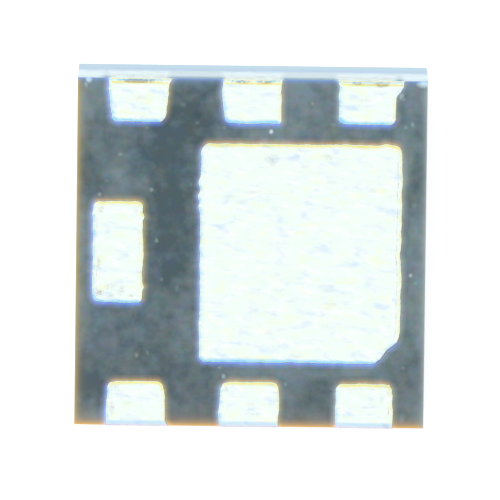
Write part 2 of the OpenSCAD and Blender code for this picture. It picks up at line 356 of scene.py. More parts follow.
def mold_tone(t, tones):
    """How pale the epoxy is, from 0 to 1: clouds, mottling and fine filler, and the soft patches of tones."""
    drift = t.node("TexNoise", Vector=t.place((6.0, 6.0, 6.0)), Scale=1.0, Detail=2.0)
    drift = t.vector("SUBTRACT", drift.outputs["Color"], (0.5, 0.5, 0.5))
    drift = t.out("VectorMath", {"operation": "SCALE"}, _0=drift, Scale=PATCH_DRIFT)
    where = t.vector("ADD", t.place(), drift)
    tone = 0.5
    for scale, offset, detail, rough, amount in MOTTLE:
        cells = t.noise(t.place(scale, offset), 1.0, detail, rough)
        tone = t.add(t.minus(cells, 0.5), amount, tone)
    for x, y, rx, ry, amount in tones:
        at = t.out("Mapping", Vector=where, Location=(-x / rx, -y / ry, 0.0), Scale=(1 / rx, 1 / ry, 0.0))
        fall = t.node("TexGradient", {"gradient_type": "SPHERICAL"}, Vector=at).outputs["Fac"]
        tone = t.add(t.ramp(fall, 0.0, 1.0), amount, tone)
    return t.ramp(tone, 0.0, 1.0, False)


def mold_face_material(name, tones, rims):
    """Mottled slate epoxy. rims show along its edges, and added colour paints a halo of coloured light beside
    a land.
    """
    t = Tree(bpy.data.materials.new(name))
    colour = t.mix(mold_tone(t, tones), EPOXY_DARK, EPOXY_PALE)
    for scale, offset, detail, rough, low, high in HUES:
        hue = t.ramp(t.noise(t.place(offset=offset), scale, detail, rough), 0.36, 0.64, False)
        colour = t.mix(1.0, colour, t.mix(hue, low, high), "MULTIPLY")
    x, y, _ = t.axes()
    # Rims along the edges; on the moulded face a wide warmer tone and painted colour fringes of light
    for (side_x, side_y), rim_colour, strength, reach in rims:
        inset = t.add(t.add(x, side_x, t.times(y, side_y)), -1.0, HALF_W if side_x else HALF_L)
        fall = t.times(t.math("EXPONENT", t.times(inset, -1.0 / reach)), strength)
        colour = t.mix(fall, colour, rim_colour)
    # Adds the colour of the grains and the painted halo of coloured light round each land
    colour = t.mix(1.0, colour, t.attribute("grains_and_halo", "Color"), "ADD")
    grain = t.noise(t.place(), 44.0, 2.0, 0.55)
    relief = t.bump(grain, 0.003, 0.18)
    return t.surface(principled(t, Base_Color=colour, Roughness=t.add(grain, 0.25, 0.4), Normal=relief))


def saw_smear(t, x, y, z):
    """Where the saw dragged metal over the side of the body, round the ends of leads and tie bars."""
    ragged = t.noise(t.place((14.0, 14.0, 9.0)), 1.0, 4.0, 0.6)
    half_pitch = LEAD_PITCH / 2
    off_lead = t.out("Math", {"operation": "WRAP"}, _0=x, _1=-half_pitch, _2=half_pitch)
    lead = t.minus(SMEAR_HALF_W, t.size(off_lead))
    far_row = t.over(y, 0.0)
    corner = t.minus(t.size(x), SMEAR_CORNER_X)
    lead = t.most(lead, t.add(t.minus(far_row, 1.0), 1.0, corner))
    low = t.minus(z, t.add(far_row, SMEAR_LOW_FAR - SMEAR_LOW_NEAR, SMEAR_LOW_NEAR))
    low = t.add(x, -SMEAR_SLOPE, low)
    lead = t.math("MINIMUM", lead, t.times(low, 1.0 / SMEAR_SOFT))
    # The side at +X has two tie bars and the one at -X has one in its middle
    bar_y = t.times(t.over(x, 0.0), TIE_BAR_Y)
    off_bar = t.size(t.minus(t.size(y), bar_y))
    off_level = t.size(t.minus(z, COPPER_BACK + ETCHED_T / 2))
    bar = t.math("MINIMUM", t.minus(TIE_BAR_W / 2 + SMEAR_PAST_BAR[0], off_bar),
                 t.minus(ETCHED_T / 2 + SMEAR_PAST_BAR[1], off_level))
    on_row = t.over(t.size(y), HALF_L - ON_SIDE)
    reach = t.add(on_row, t.minus(lead, bar), bar)
    return t.ramp(t.add(t.minus(ragged, 0.5), SMEAR_RAGGED, reach), *SMEAR_FADE)


def mold_sawn_material():
    """Sawn epoxy: smooth, with the blade's lines along it, cut filler grains and smeared metal."""
    t = Tree(bpy.data.materials.new("mold_sawn"))
    x, y, z = t.axes()
    streaks = t.noise(t.place((1.2, 1.2, 60.0)), 1.0, 4.0, 0.6)
    clouds = t.noise(t.place(), 5.0, 3.0, 0.55)
    cut = t.mix(t.ramp(streaks, 0.3, 0.7), (0.07, 0.098, 0.125), (0.12, 0.155, 0.185))
    cut = t.mix(t.times(t.ramp(clouds, 0.45, 0.75), 0.5), cut, (0.14, 0.18, 0.2))
    filler = t.node("TexVoronoi", {"feature": "F1"}, Vector=t.place(), Scale=42.0)
    filler = t.ramp(filler.outputs["Distance"], 0.24, 0.12)
    cut = t.mix(t.times(filler, 0.35), cut, (0.3, 0.35, 0.38))
    # The blade's second pass left the half next to the lands paler
    wavy = t.add(clouds, PASS_WAVE, z)
    second = t.ramp(wavy, PASS_Z - PASS_HALF, PASS_Z + PASS_HALF)
    cut = t.mix(t.times(second, 0.6), cut, (0.2, 0.265, 0.275))
    line = t.ramp(t.size(t.minus(wavy, PASS_Z)), 0.018, 0.004)
    cut = t.mix(t.times(line, 0.5), cut, (0.26, 0.27, 0.33))
    smear = t.times(saw_smear(t, x, y, z), t.ramp(streaks, 0.1, 0.24))
    colour = t.mix(smear, cut, (0.97, 1.0, 0.97))
    metal = t.most(smear, t.add(second, 0.2, 0.15))
    relief = t.bump(streaks, 0.001, 0.35)
    sawn = principled(t, Base_Color=colour, Metallic=metal, Roughness=0.1, Normal=relief, Coat_Weight=1.0,
                      Coat_Roughness=0.05, Coat_IOR=1.9, Sheen_Weight=0.3, Sheen_Roughness=0.3,
                      Sheen_Tint=(0.3, 0.6, 1.0))
    # Under the far row's edge a painted blue colour fringe of light, a cool, duller band
    blue_fringe_shader = principled(t, Base_Color=(0.08, 0.14, 0.23), Roughness=0.3, Normal=relief,
                           Sheen_Weight=0.5, Sheen_Roughness=0.3, Sheen_Tint=(0.2, 0.6, 1.0))
    blue_fringe = t.ramp(t.add(t.minus(clouds, 0.5), 0.05, z), MOLD_TOP - BLUE_FRINGE_H, MOLD_TOP)
    blue_fringe = t.times(blue_fringe, t.over(y, HALF_L - ON_SIDE))
    blue_fringe = t.times(blue_fringe, t.minus(1.0, t.times(smear, 0.8)))
    return t.surface(t.blend(blue_fringe, sawn, blue_fringe_shader))


def dress_mold():
    """The moulded faces, the sawn sides and the marked face of the mould body each have their own finish."""
    marked = mold_face_material("mold_marked", [], PLAIN_RIMS)
    mesh = NODES["mold_body"].data
    mesh.materials.clear()
    for material in (MATERIALS["mold"], mold_sawn_material(), marked):
        mesh.materials.append(material)
    for face in mesh.polygons:
        x, y, z = face.center / MM
        on_side = max(abs(x) - HALF_W, abs(y) - HALF_L) > -ON_SIDE and abs(face.normal.z) < 0.5
        face.material_index = 1 if on_side else 2 if z < MARKED_FACE_TO else 0


# Painted reflection on the tin's rounded rims: its tint on the rims that face -X -Y and on those that face +X
# +Y, and how much X counts beside Y in that
RIM_REFLECTION_COOL = (0.29, 0.71, 1.0)
RIM_REFLECTION_WARM = (1.0, 0.87, 0.28)
RIM_REFLECTION_X = 0.5
# It is measured on what a rim makes of straight down, which comes back turned by twice the rim's slope: how
# far that points sideways where the painted reflection begins and is full, and how high it points in a gap in
# it, with half the gap's width and how softly the gap and the painted reflection end
DOWN = (0.0, 0.0, -1.0)
RIM_REFLECTION_REACH = (0.1, 0.72)
RIM_REFLECTION_GAP = 0.35
RIM_REFLECTION_GAP_HALF = 0.16
RIM_REFLECTION_GAP_SOFT = 0.06
RIM_REFLECTION_END_SOFT = 0.08
# On the near row's sagging ends: its painted cool shade over the sag and painted pink colour fringe at the
# very edge, and how far in each begins and is full
SAG_PAINTED_SHADE = (0.7, 0.83, 1.0)
SAG_PAINTED_SHADE_FROM = (0.04, 0.014)
EDGE_PAINTED_FRINGE = (0.92, 0.78, 0.92)
EDGE_PAINTED_FRINGE_FROM = (0.014, 0.003)


def painted_rim_reflection(t, colour, normal):
    """Paints a reflection on the rims by the way they face and slope, and leaves flat tin as it is."""
    back = t.node("SeparateXYZ", Vector=t.vector("REFLECT", DOWN, normal)).outputs
    begins, full = RIM_REFLECTION_REACH
    # Painted reflection: a cool tint on rims that face -X -Y and a warm one on rims that face +X +Y
    side = t.add(back["X"], RIM_REFLECTION_X, back["Y"])
    painted_tint = t.mix(t.ramp(side, -begins, -full, False), WHITE, RIM_REFLECTION_COOL)
    painted_tint = t.mix(t.ramp(side, begins, full, False), painted_tint, RIM_REFLECTION_WARM)
    off_gap = t.size(t.minus(back["Z"], RIM_REFLECTION_GAP))
    gap = t.ramp(off_gap, RIM_REFLECTION_GAP_HALF + RIM_REFLECTION_GAP_SOFT, RIM_REFLECTION_GAP_HALF - RIM_REFLECTION_GAP_SOFT)
    painted_tint = t.mix(gap, painted_tint, WHITE)
    painted_tint = t.mix(t.ramp(back["Z"], RIM_REFLECTION_END_SOFT, -RIM_REFLECTION_END_SOFT), painted_tint, WHITE)
    # On the near row's sagging ends: painted cool shade over the sag and a painted pink colour fringe at the
    # very edge
    _, y, _ = t.axes()
    inset = t.math("ADD", y, HALF_L)
    painted_tint = t.mix(t.ramp(inset, *SAG_PAINTED_SHADE_FROM), painted_tint, SAG_PAINTED_SHADE)
    painted_tint = t.mix(t.ramp(inset, *EDGE_PAINTED_FRINGE_FROM), painted_tint, EDGE_PAINTED_FRINGE)
    return t.mix(1.0, colour, painted_tint, "MULTIPLY")


# Tints of the tin: dull and bright patches, greenish ones, and a cool painted shade in its ripples' hollows
# and a warm painted highlight on their crests
TIN_DULL = (0.895, 1.0, 0.96)
TIN_BRIGHT = (0.965, 1.0, 0.99)
TIN_GREEN = (0.87, 1.0, 0.895)
TIN_HOLLOW_SHADE = (0.7, 0.85, 1.0)
TIN_CREST_HIGHLIGHT = (0.94, 1.0, 0.78)
# Kinds of marks on it, which are attributes of its meshes, and their colours: dirt, which also draws the
# dark seam of dirt and painted shade, haze, and grey ends
DIRT_AND_SHADE, HAZE, GREY_END = "dirt_and_shade", "haze", "grey_end"
MARK_COLOURS = {DIRT_AND_SHADE: (0.42, 0.4, 0.38), HAZE: (0.5, 0.62, 0.74), GREY_END: (0.54, 0.55, 0.57)}


def tin_material():
    """Bright matte tin with short ripples, their painted shade and highlights, painted reflections on the
    rims, scuffs, a dark seam partly painted shade, and grey marks at the far row's sawn ends.
    """
    t = Tree(bpy.data.materials.new("tin_plate"))
    ripple = t.noise(t.place((9.0, 20.0, 12.0), turn_deg=9.0), 1.0, 3.0, 0.5, 0.35)
    cloud = t.noise(t.place((4.0, 6.0, 3.0), (7.0, 0.0, 0.0)), 1.0, 2.0, 0.5)
    grain = t.noise(t.place((60.0, 90.0, 60.0)), 1.0, 2.0, 0.5)
    busy = t.add(t.ramp(cloud, 0.35, 0.62), 0.65, 0.35)
    pale = t.noise(t.place((10.0, 22.0, 12.0), (3.0, 5.0, 0.0), turn_deg=9.0), 1.0, 2.0, 0.5, 0.35)
    # Painted shade in the ripples' hollows, in a cool tint, and painted highlight on their crests, in a warm
    # tint
    hollow_shade = t.times(t.ramp(ripple, 0.48, 0.24), busy)
    crest_highlight = t.times(t.ramp(ripple, 0.52, 0.74), busy)
    colour = t.mix(t.ramp(pale, 0.46, 0.7), TIN_DULL, TIN_BRIGHT)
    colour = t.mix(t.times(t.ramp(pale, 0.46, 0.28), 0.5), colour, TIN_GREEN)
    colour = t.mix(hollow_shade, colour, TIN_HOLLOW_SHADE)
    colour = t.mix(crest_highlight, colour, TIN_CREST_HIGHLIGHT)
    # Dirt, and the dark seam inside the ±X edges: dirt with the painted shade of the plating's edge relief
    dirt_and_shade = t.times(t.attribute(DIRT_AND_SHADE), t.ramp(grain, 0.25, 0.6))
    # Grey marks at the far row's sawn ends, over the groove there
    grey_end = t.ramp(t.math("ADD", t.attribute(GREY_END), t.times(grain, 0.35)), 0.25, 1.15)
    for kind, amount in ((DIRT_AND_SHADE, dirt_and_shade), (HAZE, t.attribute(HAZE)), (GREY_END, grey_end)):
        colour = t.mix(amount, colour, MARK_COLOURS[kind])
    rough = t.add(grain, 0.14, 0.17)
    relief = t.bump(ripple, 0.006, 0.45)
    relief = t.bump(grain, 0.0008, 0.4, Normal=relief)
    # Painted reflections on the rims, and painted shade and a pink fringe on the near row's sagging ends
    colour = painted_rim_reflection(t, colour, relief)
    return t.surface(principled(t, Base_Color=colour, Metallic=1.0, Roughness=rough, Normal=relief))


def copper_material():
    """Bare copper. Its sawn ends carry the blade's fine lines and smeared tin."""
    t = Tree(bpy.data.materials.new("bare_copper"))
    x, y, _ = t.axes()
    lines = t.noise(t.place((4.0, 4.0, 120.0)), 1.0, 3.0, 0.6)
    cloud = t.noise(t.place(), 14.0, 3.0, 0.55)
    colour = t.mix(t.ramp(lines, 0.3, 0.7), (0.6, 0.36, 0.25), (0.8, 0.52, 0.38))
    colour = t.mix(t.times(t.ramp(cloud, 0.5, 0.75), 0.5), colour, (0.42, 0.27, 0.2))
    on_row = t.over(t.size(y), HALF_L - ON_SIDE)
    on_side = t.over(t.size(x), HALF_W - ON_SIDE)
    tinned = t.most(on_row, t.times(on_side, 0.35))
    tinned = t.times(tinned, t.add(t.ramp(cloud, 0.62, 0.4), 0.35, 0.62))
    colour = t.mix(tinned, colour, (0.94, 0.99, 0.99))
    relief = t.bump(lines, 0.002, 0.5)
    return t.surface(principled(t, Base_Color=colour, Metallic=1.0, Roughness=0.3, Normal=relief))


# Metals inside the moulding: darker and paler tint, roughness, cells a millimetre, and the nodes they are on
INNER_METALS = {
    "silver_plate": ((0.74, 0.74, 0.72), (0.86, 0.86, 0.84), 0.38, 30.0, [n for n in NODES if "silver" in n]),
    "die_solder": ((0.34, 0.34, 0.35), (0.48, 0.48, 0.49), 0.45, 25.0, ["die_attach"]),
    "die_metal": ((0.74, 0.75, 0.77), (0.84, 0.85, 0.86), 0.22, 40.0, ["source_metal", "gate_metal"]),
    "gold_wire": ((0.85, 0.62, 0.25), (0.95, 0.74, 0.36), 0.2, 60.0, [n for n in NODES if "_wire" in n]),
}


def simple_metal(name, low, high, roughness, scale):
    t = Tree(bpy.data.materials.new(name))
    cloud = t.noise(t.place(), scale, 3.0, 0.55)
    colour = t.mix(t.ramp(cloud, 0.3, 0.7), low, high)
    relief = t.bump(cloud, 0.001, 0.4)
    return t.surface(principled(t, Base_Color=colour, Metallic=1.0, Roughness=roughness, Normal=relief))


def silicon_material():
    t = Tree(bpy.data.materials.new("silicon"))
    cloud = t.noise(t.place(), 6.0, 2.0, 0.5)
    colour = t.mix(t.ramp(cloud, 0.3, 0.7), (0.1, 0.105, 0.13), (0.15, 0.16, 0.19))
    return t.surface(principled(t, Base_Color=colour, Metallic=0.6, Roughness=0.16))


def dress(nodes, material):
    for name in nodes:
        mesh = NODES[name].data
        mesh.materials.clear()
        mesh.materials.append(material)


# Lands

# How far in the rim of the tin rounds over, how low it ends, and the rings of points that draw it
RIM_R = 0.03
RIM_DROP = 0.014
RING_STEPS = (0.0, 0.003, 0.007, 0.012, 0.018, 0.024, 0.028, 0.032, 0.038)
# Nearer than this to the sawn side a ring has no points
SAW_CLEAR = 0.004
# The rings that the dark seam of dirt and painted shade lies between, how far it stays from the sawn side,
# and how squarely an edge with a seam faces -X or +X
SEAM_FROM, SEAM_TO = 0.024, 0.032
SEAM_CLEAR = 0.08
SEAM_SQUARE = 0.95
# Wear along the sawn side: how far in it reaches, how low it goes on the far row and on the near row, and how
# much tin the far row keeps over the worn copper
ROLL_L = 0.03
ROLL_DEPTH = 0.02
ROLL_SAG = 0.0085
SAW_SKIN = 0.0015
# The groove across the far row's ends: how far in it lies, half its width, its depth, and how far and over
# what length it wanders
GROOVE_S = 0.018
GROOVE_W = 0.01
GROOVE_DEPTH = 0.009
GROOVE_WANDER = (0.004, 0.028)
# How far the tin lies below the tops of its ripples, how thick it stays over copper and a little past it,
# how thick over the moulding, and how thick its sheet is at least
TIN_SINK = 0.0012
OVER_COPPER = 0.0008
PAST_COPPER = 0.001
OVER_MOLD = 0.0006
SHEET_T = 0.0004
# How far inside the box of a tin solid its copper begins
COPPER_INSET = 0.01
# Its ragged edges are two waves: height, length and seed
RAGGED = ((0.0045, 0.05, 0), (0.0025, 0.016, 5))
# Points inside the rings, in parts of a land's step: how far each is shaken out of its row, how long the wave
# is that shakes them, and how far they keep from the rings and from a sawn edge
SHAKEN, SHAKE_WAVE = 0.35, 0.6
OFF_RINGS, OFF_EDGE = 0.5, 0.45
# Its ripples, wide and fine: length across, length along, and height
WIDE_RIPPLE = (0.16, 0.06, 0.0011)
FINE_RIPPLE = (0.05, 0.024, 0.0004)
# Patches of the seam and of the marks: length across, length along, mean amount, swing and seed
SEAM_PATCHES = (0.03, 0.03, 0.35, 1.2, 11)
MARK_PATCHES = (0.014, 0.01, 0.7, 0.9, 19)


def wobble(p, amount, length, seed):
    return amount * noise.noise(Vector((p[0] / length, p[1] / length, seed * 7.31)))


def resample(points, step):
    """A closed outline with points about one step apart."""
    out = []
    for i, a in enumerate(points):
        b = points[(i + 1) % len(points)]
        length = math.dist(a, b)
        n = max(1, round(length / step))
        out += [(a[0] + (b[0] - a[0]) * k / n, a[1] + (b[1] - a[1]) * k / n) for k in range(n)]
    return out


def round_corners(corners, steps=6):
    """Outline from (x, y, radius) corners, anticlockwise."""
    out = []
    n = len(corners)
    for i, (x, y, r) in enumerate(corners):
        here = Vector((x, y))
        before = (Vector(corners[i - 1][:2]) - here).normalized()
        after = (Vector(corners[(i + 1) % n][:2]) - here).normalized()
        if r <= 0:
            out.append((x, y))
            continue
        half = before.angle(after) / 2
        reach = r / math.tan(half)
        centre = here + (before + after).normalized() * (r / math.sin(half))
        start = here + before * reach - centre
        end = here + after * reach - centre
        turn = start.angle_signed(end)
        for k in range(steps + 1):
            a = -turn * k / steps
            c, s = math.cos(a), math.sin(a)
            out.append((centre.x + start.x * c - start.y * s, centre.y + start.x * s + start.y * c))
    return out


def inward_normals(outline):
    pts = np.array(outline)
    along = np.roll(pts, -1, 0) - np.roll(pts, 1, 0)
    along /= np.linalg.norm(along, axis=1)[:, None]
    return np.stack([-along[:, 1], along[:, 0]], 1)


def edge_distance(points, outline):
    """Distance of each point from a closed outline, and whether it is inside."""
    a = np.array(outline)
    b = np.roll(a, -1, 0)
    ab = b - a
    best = np.full(len(points), 1e9)
    inside = np.zeros(len(points), bool)
    for p0, d in zip(a, ab):
        t = np.clip(((points - p0) @ d) / (d @ d), 0, 1)
        best = np.minimum(best, np.linalg.norm(points - (p0 + t[:, None] * d), axis=1))
        y0, y1 = p0[1], p0[1] + d[1]
        crosses = (points[:, 1] >= min(y0, y1)) & (points[:, 1] < max(y0, y1))
        if d[1]:
            x = p0[0] + d[0] * (points[:, 1] - y0) / d[1]
            inside ^= crosses & (points[:, 0] < x)
    return best, inside


def rim_drop(d):
    t = max(0.0, 1.0 - d / RIM_R)
    return RIM_DROP * (1.0 - math.sqrt(1.0 - t * t))


def ripples(x, y, seed):
    wide = noise.fractal(Vector((x / WIDE_RIPPLE[0], y / WIDE_RIPPLE[1], seed)), 1.0, 2.1, 3)
    fine = noise.noise(Vector((x / FINE_RIPPLE[0], y / FINE_RIPPLE[1], seed + 31.0)))
    return WIDE_RIPPLE[2] * wide + FINE_RIPPLE[2] * fine


def add_piece(name, vertices, faces, material, smooth=None):
    mesh = bpy.data.meshes.new(name)
    mesh.from_pydata([Vector(v) * MM for v in vertices], [], faces)
    mesh.materials.append(material)
    if smooth is not None:
        mesh.polygons.foreach_set("use_smooth", smooth)
    mesh.validate()
    mesh.update()
    return add_object(name, mesh)


def add_tinted_piece(name, vertices, faces, colours):
    """A piece of its own on the moulded face, in colours that add to the epoxy's."""
    piece = add_piece(name, vertices, faces, MATERIALS["mold"])
    layer = piece.data.attributes.new("grains_and_halo", "FLOAT_COLOR", "POINT")
    layer.data.foreach_set("color", colours)
    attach(piece, "root")


def bulge(p, bumps):
    """How far the edge stands out at p. bumps are (x, y, reach, height)."""
    return sum(h * max(0.0, 1.0 - (math.dist(p, (x, y)) / reach) ** 2) ** 2 for x, y, reach, h in bumps)


# Painted halo of coloured light on the moulding beside a land: the rings that draw it, how fast it fades, how
# much more of it there is right beside the land, and its colour past the land's +Y and -Y edges
HALO_STEPS = (-0.006, 0.0, 0.004, 0.009, 0.015, 0.022, 0.031, 0.045)
HALO_REACH = 0.0135
HALO_NEAR, HALO_NEAR_REACH = 0.35, 0.004
HALO_ENDS = {1: (0.45, 0.23, 0.03), -1: (0.11, 0.22, 0.92)}
# The same past its -X and +X edges, at the chip's left and right side
HALO_SIDES = {-1: ((0.21, 0.26, 0.72), (0.2, 0.24, 0.14)), 1: ((0.38, 0.27, 0.03), (0.18, 0.16, 0.11))}
# How far the halo's thin piece stands over the moulding at a land, how much it is let in, and how deep its
# foot lies
HALO_TOP, HALO_SINK, TINTED_FOOT = 0.0008, 0.0002, 0.0003


def halo_tint(x, out_x, out_y):
    """Colour of the painted halo at x, where (out_x, out_y) points away from the land."""
    left, right = HALO_SIDES[1 if out_x > 0 else -1]
    across = 0.5 + 0.5 * x / HALF_W
    sideways = [a + (b - a) * across for a, b in zip(left, right)]
    endways = HALO_ENDS[1 if out_y > 0 else -1]
    return [out_x ** 2 * a + out_y ** 2 * b for a, b in zip(sideways, endways)]


def add_land_halos(edges):
    """A painted halo round every land. edges are outlines of (point, inward normal, on the sawn side or not).
    """
    vertices, faces, colours = [], [], []
    for edge in edges:
        rings = len(HALO_STEPS)
        start = len(vertices)
        for (x, y), (nx, ny), _ in edge:
            for step in HALO_STEPS:
                px, py = x - nx * step, min(max(y - ny * step, -HALF_L), HALF_L)
                away = max(0.0, step)
                fade = math.exp(-away / HALO_REACH) - math.exp(-HALO_STEPS[-1] / HALO_REACH)
                fade += HALO_NEAR * math.exp(-away / HALO_NEAR_REACH)
                height = HALO_TOP * (1.0 - away / HALO_STEPS[-1]) - HALO_SINK
                tint = [fade * c for c in halo_tint(px, -nx, -ny)]
                for z in (MOLD_TOP + height, MOLD_TOP - TINTED_FOOT):
                    vertices.append((px, py, z))
                    colours += [*tint, 1.0]
        for i in range(len(edge)):
            j = (i + 1) % len(edge)
            if edge[i][2] and edge[j][2]:
                continue
            a, b = start + 2 * rings * i, start + 2 * rings * j
            for k in range(rings - 1):
                top_a, top_b = a + 2 * k, b + 2 * k
                faces.append((top_b, top_a, top_a + 2, top_b + 2))
                faces.append((top_a + 1, top_b + 1, top_b + 3, top_a + 3))
            faces.append((a, b, b + 1, a + 1))
            last = 2 * (rings - 1)
            faces.append((b + last, a + last, a + last + 1, b + last + 1))
            # At the sawn side the halo's piece is closed by an end
            for cut, corner, flip in ((edge[i][2], a, True), (edge[j][2], b, False)):
                for k in range(corner, corner + last, 2) if cut else ():
                    end = (k, k + 1, k + 3, k + 2)
                    faces.append(end[::-1] if flip else end)
    add_tinted_piece("land_halo", vertices, faces, colours)


def ragged_edge(outline, on_saw, sawn, seed, bumps):
    """The outline as the plating left it. Points on the sawn side stay on it."""
    edge = []
    for p, n, cut in zip(outline, inward_normals(outline), on_saw):
        shift = sum(wobble(p, height, length, seed + more) for height, length, more in RAGGED)
        shift -= bulge(p, bumps)
        edge.append((p[0], sawn * HALF_L) if cut else (p[0] + n[0] * shift, p[1] + n[1] * shift))
    return edge


def rim_points(edge, normals, on_saw):
    """Rings of points from the edge inwards: place, depth, and the X part of the edge's inward normal."""
    found = []
    for ring in RING_STEPS:
        for p, n, cut in zip(edge, normals, on_saw):
            q = (p[0] + n[0] * ring, p[1] + n[1] * ring)
            if cut and ring == 0:
                found.append((p, RIM_R, 0.0))
            elif not cut and (ring == 0 or HALF_L - abs(q[1]) >= SAW_CLEAR):
                found.append((q, ring, n[0]))
    return found


def inner_points(edge, on_saw, step, seed):
    """Uneven points inside the rings, as rim_points gives them.

    Along the sawn side the rim doesn't round over, so depth counts from the other edges only.
    """
    xs, ys = np.array(edge).T
    grid = [(x, y) for x in np.arange(xs.min(), xs.max(), step) for y in np.arange(ys.min(), ys.max(), step)]
    grid = np.array(grid)
    far, length = SHAKEN * step, SHAKE_WAVE * step
    grid = grid + [(wobble(g, far, length, seed), wobble(g[::-1], far, length, seed + 3)) for g in grid]
    dist, inside = edge_distance(grid, edge)
    depth = dist
    if any(on_saw):
        depth = np.full(len(grid), np.inf)
        for p in (p for p, cut in zip(edge, on_saw) if not cut):
            depth = np.minimum(depth, np.linalg.norm(grid - p, axis=1))
    keep = inside & (depth > RING_STEPS[-1] + OFF_RINGS * step) & (dist > OFF_EDGE * step)
    return [(tuple(g), d, 0.0) for g, d in zip(grid[keep], depth[keep])]


def land_height(x, y, depth, sawn, seed, lo, hi):
    z = LAND_TOP - TIN_SINK + ripples(x, y, seed) - rim_drop(depth)
    s = HALF_L - abs(y)
    if sawn > 0 and s < ROLL_L:
        wander = GROOVE_WANDER[0] * noise.noise(Vector((x / GROOVE_WANDER[1], 0.0, seed + 23)))
        groove = z - GROOVE_DEPTH * math.exp(-((s - GROOVE_S - wander) / GROOVE_W) ** 2)
        z = min(z, max(groove, LAND_TOP - ROLL_DEPTH * (1.0 - s / ROLL_L) + SAW_SKIN))
    elif sawn < 0 and s < ROLL_L:
        z = min(z, LAND_TOP - ROLL_SAG * (1.0 - s / ROLL_L))
    inner_y = hi.y - y if sawn < 0 else y - lo.y
    if sawn and min(x - lo.x, hi.x - x, inner_y) > COPPER_INSET - PAST_COPPER:
        z = max(z, COPPER_TOP + OVER_COPPER)
    return min(max(z, MOLD_TOP + OVER_MOLD), LAND_TOP)


def back_height(x, y, sawn, lo, hi):
    """The back of the sheet lies on the copper, and round that on the mould body."""
    over_copper = (lo.x + COPPER_INSET < x < hi.x - COPPER_INSET
                   and (lo.y + COPPER_INSET < y or sawn < 0) and (y < hi.y - COPPER_INSET or sawn > 0))
    mark_values = ROLL_DEPTH * max(0.0, 1.0 - (HALF_L - abs(y)) / ROLL_L)
    return min(COPPER_TOP, LAND_TOP - mark_values) if over_copper else MOLD_TOP


def patchy(x, y, seed, across, along, mean, swing, more):
    return mean + swing * noise.noise(Vector((x / across, y / along, seed + more)))


def mark_amounts(x, y, depth, side, seams, marks, seed):
    """How much of each kind of mark there is at a point, from 0 to 1."""
    here = dict.fromkeys(MARK_COLOURS, 0.0)
    # The dark seam inside the ±X edges: dirt and the painted shade of the plating's edge relief
    if SEAM_FROM < depth < SEAM_TO and abs(side) > SEAM_SQUARE and HALF_L - abs(y) > SEAM_CLEAR:
        strength = seams[0] if side > 0 else seams[1]
        here[DIRT_AND_SHADE] = strength * max(0.0, patchy(x, y, seed, *SEAM_PATCHES))
    patch = patchy(x, y, seed, *MARK_PATCHES)
    for *where, amount, kind in marks:
        mark_x, mark_y, across, along = (v / THOUSANDTHS for v in where)
        r = math.hypot((x - mark_x) / across, (y - mark_y) / along)
        here[kind] = max(here[kind], max(0.0, 1.0 - r * r) * amount * patch)
    return [min(1.0, max(0.0, amount)) for amount in here.values()]


def add_land(name, node, outline, step, seed, marks, seams, sawn=0, bumps=()):
    """A tinned land: a rippled sheet with a rounded rim.

    step is how far apart its points are. marks are (x, y, reach across, reach along, amount, kind of mark).
    seams are how dark the seam of grime and painted shade is inside its -X and +X edges. sawn is +1 or -1
    where its end lies at the body's +Y or -Y side.
    """
    outline = resample(outline, step)
    on_saw = [bool(sawn) and abs(p[1] - sawn * HALF_L) < 1e-6 for p in outline]
    edge = ragged_edge(outline, on_saw, sawn, seed, bumps)
    normals = inward_normals(edge)
    points = rim_points(edge, normals, on_saw) + inner_points(edge, on_saw, step, seed)
    first = {}
    for i, ((x, y), _, _) in enumerate(points):
        first.setdefault((round(x, 7), round(y, 7)), i)
    loop = [first[(round(x, 7), round(y, 7))] for x, y in edge]
    borders = list(zip(loop, loop[1:] + loop[:1]))
    flat, _, faces, origin, _, _ = delaunay_2d_cdt([Vector(p) for p, _, _ in points], borders, [], 1, 1e-6)
    lo, hi = (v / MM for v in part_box(node))
    front, back, mark_values = [], [], []
    for (x, y), source in zip(flat, origin):
        # Depth and side come from the point that this one was made from
        _, depth, side = points[source[0] if source else 0]
        z = land_height(x, y, depth, sawn, seed, lo, hi)
        front.append((x, y, z))
        back.append((x, y, min(back_height(x, y, sawn, lo, hi), z - SHEET_T)))
        mark_values.append(mark_amounts(x, y, depth, side, seams, marks, seed))
    # The front faces upwards, the back downwards, and the rim closes the sheet between them
    a, b, c = (Vector(front[i][:2]) for i in faces[0][:3])
    if (b - a).cross(c - a) < 0:
        faces = [f[::-1] for f in faces]
    n = len(front)
    ways = {way: True for f in faces for way in zip(f, [*f[1:], f[0]])}
    rim = [(a, b) for a, b in ways if (b, a) not in ways]
    shell = [tuple(f) for f in faces] + [tuple(n + i for i in reversed(f)) for f in faces]
    shell += [(b, a, n + a, n + b) for a, b in rim]
    smooth = [True] * len(faces) + [False] * (len(shell) - len(faces))
    piece = add_piece(name, front + back, shell, MATERIALS["tin"], smooth)
    for kind, values in zip(MARK_COLOURS, zip(*mark_values)):
        layer = piece.data.attributes.new(kind, "FLOAT", "POINT")
        layer.data.foreach_set("value", [*values, *[0.0] * n])
    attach(piece, "root")
    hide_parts(node)
    return list(zip(edge, normals, on_saw))


# How far in from the sawn side the width of a lead is given
STATIONS = (0.0, 0.03, 0.065, 0.095, 0.205)
